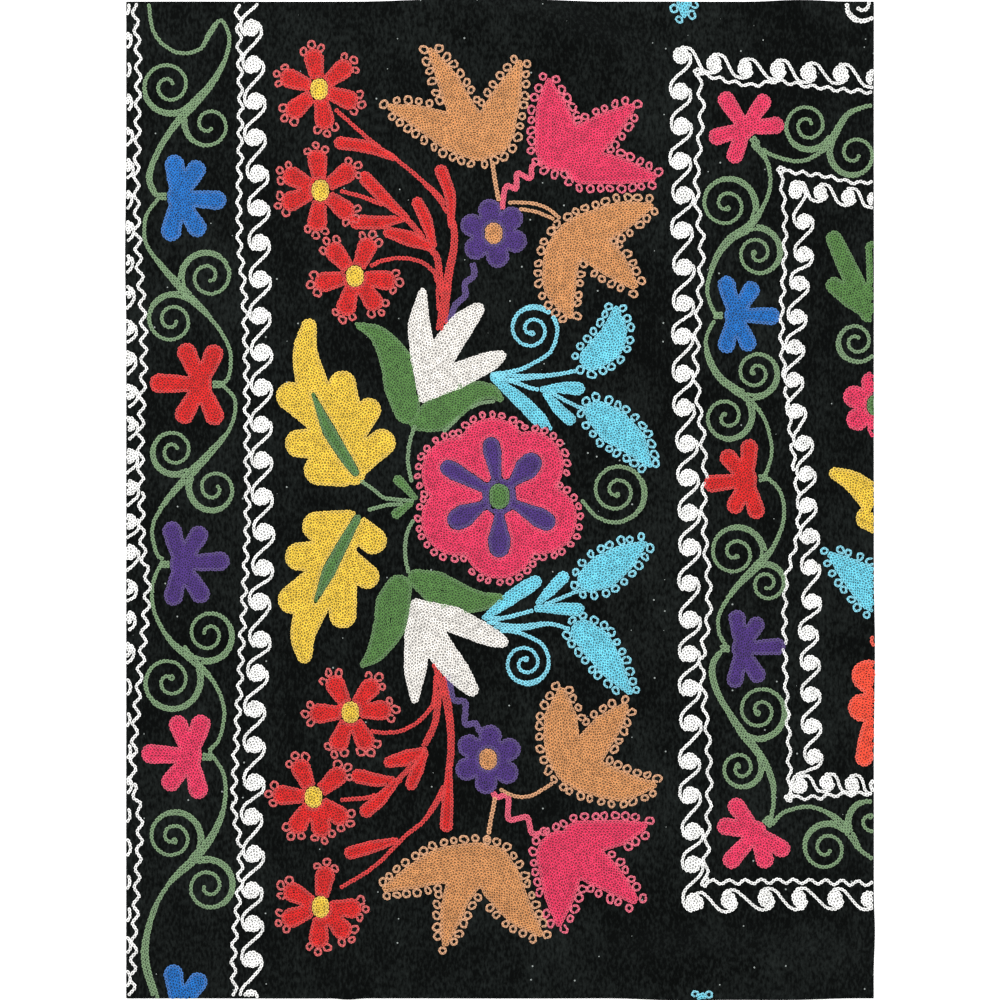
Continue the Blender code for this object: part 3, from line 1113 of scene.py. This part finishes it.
def modelLink():
    # a loop of thread round a small hollow: its tail starts inside the link behind and lies over its head
    bpy.ops.object.select_all(action="DESELECT")
    bpy.ops.mesh.primitive_cone_add(
        vertices=6, radius1=link["outer"] * mm, radius2=link["crown"] * mm, depth=link["thick"] * mm,
        location=(0, 0, link["thick"] * mm / 2), rotation=(0, 0, radians(30)),
    )
    bpy.ops.object.transform_apply(location=True, rotation=True, scale=False)
    loop = bpy.context.object
    loop.name = "chainLink"
    mesh = loop.data
    bpy.ops.object.mode_set(mode="EDIT")
    bpy.ops.mesh.select_mode(type="VERT")
    pickVertices(mesh, lambda co: co.z > 0.5 * link["thick"])
    bpy.ops.mesh.select_mode(type="FACE")
    bpy.ops.mesh.inset(thickness=link["lip"] * mm, depth=link["dish"] * mm)
    bpy.ops.mesh.select_mode(type="VERT")
    for side in (1, -1):
        pickVertices(mesh, lambda co, side=side: co.x * side > 0.02)
        bpy.ops.transform.translate(value=(side * link["reach"] * mm, 0, 0))
    pickVertices(mesh, lambda co: co.x < -0.2)
    bpy.ops.transform.resize(value=(1, link["tailNarrow"], 1), center_override=(0, 0, 0))
    bpy.ops.transform.translate(value=(0, 0, link["tailRise"] * mm))
    pickVertices(mesh, lambda co: co.x < -link["tipFrom"])
    bpy.ops.transform.translate(value=(0, 0, link["tailDip"] * mm))
    pickVertices(mesh, lambda co: co.x > link["tipFrom"])
    bpy.ops.transform.translate(value=(0, 0, link["headDip"] * mm))
    bpy.ops.mesh.select_all(action="SELECT")
    bpy.ops.mesh.normals_make_consistent(inside=False)
    bpy.ops.object.mode_set(mode="OBJECT")
    bpy.ops.object.shade_smooth()
    places = [vertex.co / mm for vertex in mesh.vertices]
    # points in the link's hollow, marked for painted shade in the thread's finish
    within = [float(hypot(co.x, co.y) < link["hollowReach"] and co.z > link["hollowFrom"]) for co in places]
    mesh.attributes.new("hollow", "FLOAT", "POINT").data.foreach_set("value", within)
    print("link modelled:", len(mesh.polygons), "faces,", int(sum(within)), "points in the hollow")
    return loop


def rowNodes(cloth, ring, seed):
    # drops every point onto the velvet and sets a link there, turned along its row
    group = bpy.data.node_groups.new("setLinks", "GeometryNodeTree")
    group.interface.new_socket("Geometry", in_out="INPUT", socket_type="NodeSocketGeometry")
    group.interface.new_socket("Geometry", in_out="OUTPUT", socket_type="NodeSocketGeometry")

    def add(kind, inputs=None, **settings):
        node = group.nodes.new(kind)
        for name, setting in settings.items():
            setattr(node, name, setting)
        for name, given in (inputs or {}).items():
            if isinstance(given, bpy.types.NodeSocket):
                group.links.new(given, node.inputs[name])
            else:
                node.inputs[name].default_value = given
        return node

    def attribute(name):
        found = add("GeometryNodeInputNamedAttribute", {"Name": name}, data_type="FLOAT")
        return found.outputs["Attribute"]

    points = add("NodeGroupInput").outputs[0]
    ground = add("GeometryNodeObjectInfo", {"Object": cloth}).outputs["Geometry"]
    shape = add("GeometryNodeObjectInfo", {"Object": ring}).outputs["Geometry"]
    place = add("ShaderNodeSeparateXYZ", {0: add("GeometryNodeInputPosition").outputs[0]})
    above = add("ShaderNodeCombineXYZ", {0: place.outputs[0], 1: place.outputs[1], 2: 0.1})
    ray = {"Source Position": above.outputs[0], "Ray Direction": (0, 0, -1), "Ray Length": 0.2}
    drop = add("GeometryNodeRaycast", {"Target Geometry": ground, **ray})
    laid = add("GeometryNodeSetPosition", {"Geometry": points, "Position": drop.outputs["Hit Position"]})
    spin = add("ShaderNodeCombineXYZ", {2: attribute("heading")})
    flat = add("FunctionNodeEulerToRotation", {0: spin.outputs[0]})
    upright = add(
        "FunctionNodeAlignRotationToVector",
        {"Rotation": flat.outputs[0], "Vector": drop.outputs["Hit Normal"]},
        axis="Z",
    )
    bulk = attribute("bulk")
    size = add("ShaderNodeCombineXYZ", {0: attribute("reach"), 1: bulk, 2: bulk})
    turned = {"Rotation": upright.outputs[0], "Scale": size.outputs[0]}
    chained = add("GeometryNodeInstanceOnPoints", {"Points": laid.outputs[0], "Instance": shape, **turned})
    # a random shade for each link, which stands partly for painted glint off its strands
    luck = add("FunctionNodeRandomValue", {"Seed": seed}, data_type="FLOAT")
    shaded = add(
        "GeometryNodeStoreNamedAttribute",
        {"Geometry": chained.outputs[0], "Name": "shade", "Value": luck.outputs[1]},
        data_type="FLOAT",
        domain="INSTANCE",
    )
    real = add("GeometryNodeRealizeInstances", {"Geometry": shaded.outputs[0]})
    group.links.new(real.outputs[0], add("NodeGroupOutput").inputs[0])
    return group


yarn = {
    "paleShare": 0.40,  # how far a row that stands alone goes towards its paler tone
    "fibres": 2600,
    "dye": 60,
    "toneStops": (0.25, 0.85),
    "toneShades": (0.70, 1.16),
    "hollow": 0.90,  # how dark the painted shade in the middle of a link is
    "hollowInLines": 0.15,  # how much of that a row that stands alone loses
    "hollowShade": 0.09,
    "roughness": 0.70,
    "specular": 0.22,
    "sheen": 0.06,
    "fibreDepth": 0.00015,
}
threadColours = {
    # thread: slot, colour of its lit side
    "border": ("white_thread", (0.90, 0.90, 0.875)),
    "white": ("white_thread", (0.76, 0.73, 0.685)),
    "green": ("green_thread", (0.078, 0.190, 0.045)),
    "red": ("red_thread", (0.580, 0.0104, 0.0090)),
    "crimson": ("crimson_thread", (0.680, 0.0310, 0.102)),
    "purple": ("purple_thread", (0.060, 0.023, 0.170)),
    "blue": ("blue_thread", (0.0055, 0.133, 0.445)),
    "cyan": ("cyan_thread", (0.137, 0.555, 0.695)),
    "tan": ("tan_thread", (0.565, 0.252, 0.090)),
    "yellow": ("yellow_thread", (0.725, 0.490, 0.044)),
    "orange": ("orange_thread", (0.820, 0.073, 0.032)),
}


def threadFinish(name, colour):
    finish = Finish(name + "Thread")
    luck, pale, hollow = (
        finish.node("ShaderNodeAttribute", {"attribute_name": attribute}, output=2)
        for attribute in ("shade", "pale", "hollow")
    )
    fibres = finish.noise(yarn["fibres"], 2, 0.6)
    # each link's random shade is partly painted glint, lighter or darker from link to link; the two noises
    # are the yarn's own fibres and dye
    tone = luck * 0.45 + fibres * 0.35 + finish.noise(yarn["dye"], 2) * 0.35
    shades = (shadeOf(colour, share) for share in yarn["toneShades"])
    dyeAndGlint = finish.ramp(tone, tuple(zip(yarn["toneStops"], shades)))
    paler = tuple(0.25 + 0.6 * part for part in colour) + (1.0,)
    # rows that stand alone and the rows round a shape's edge are mixed towards a paler tone
    paledRows = finish.blend(pale * yarn["paleShare"], dyeAndGlint, paler)
    # the middle of each link is painted towards a dark shade of its thread: painted shade in the link's
    # hollow
    depth = hollow * (yarn["hollow"] - pale * yarn["hollowInLines"])
    shaded = finish.blend(depth, paledRows, shadeOf(colour, yarn["hollowShade"]))
    finish.set({"Base Color": shaded, "Roughness": yarn["roughness"]})
    finish.set({"Specular IOR Level": yarn["specular"]})
    finish.set({"Sheen Weight": yarn["sheen"], "Sheen Roughness": 0.4})
    finish.bump(fibres, 0.5, yarn["fibreDepth"])
    return finish.material


def chainPiece(name, links, cloth, ring, seed):
    # one mesh for a thread: a point for each link, on which Geometry Nodes set the modelled link
    links = np.array(links)
    mesh = bpy.data.meshes.new(name + "Chain")
    places = np.column_stack((links[:, :2] * mm, np.zeros(len(links))))
    mesh.from_pydata(places.tolist(), [], [])
    for column, attribute in ((2, "heading"), (3, "reach"), (4, "bulk"), (5, "pale")):
        mesh.attributes.new(attribute, "FLOAT", "POINT").data.foreach_set("value", links[:, column])
    piece = bpy.data.objects.new(name + "Chain", mesh)
    bpy.context.collection.objects.link(piece)
    bpy.ops.object.select_all(action="DESELECT")
    piece.select_set(True)
    bpy.context.view_layer.objects.active = piece
    setter = piece.modifiers.new("setLinks", "NODES")
    setter.node_group = rowNodes(cloth, ring, seed)
    bpy.ops.object.modifier_apply(modifier=setter.name)
    slot, colour = threadColours[name]
    piece.data.materials.clear()
    piece.data.materials.append(threadFinish(name, colour))
    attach(piece, "root")
    return piece


def floorFinish():
    finish = Finish("paleFloor")
    finish.set({"Base Color": (0.93, 0.93, 0.93, 1.0), "Roughness": 0.9})
    return finish.material


setTheView().data.materials.append(floorFinish())
print("view set")
cloth = layTheVelvet()
print("velvet laid:", len(cloth.data.polygons), "faces")
workSpray()
print("spray drawn")
workField()
workBorders()
print("borders drawn:", {name: len(links) for name, links in threads.items()})
ring = modelLink()
pieces = [chainPiece(name, threads[name], cloth, ring, seed) for seed, name in enumerate(threads)]
bpy.data.objects.remove(ring, do_unlink=True)
faces = sum(len(piece.data.polygons) for piece in pieces)
print("links worked:", sum(len(links) for links in threads.values()), "faces:", faces)
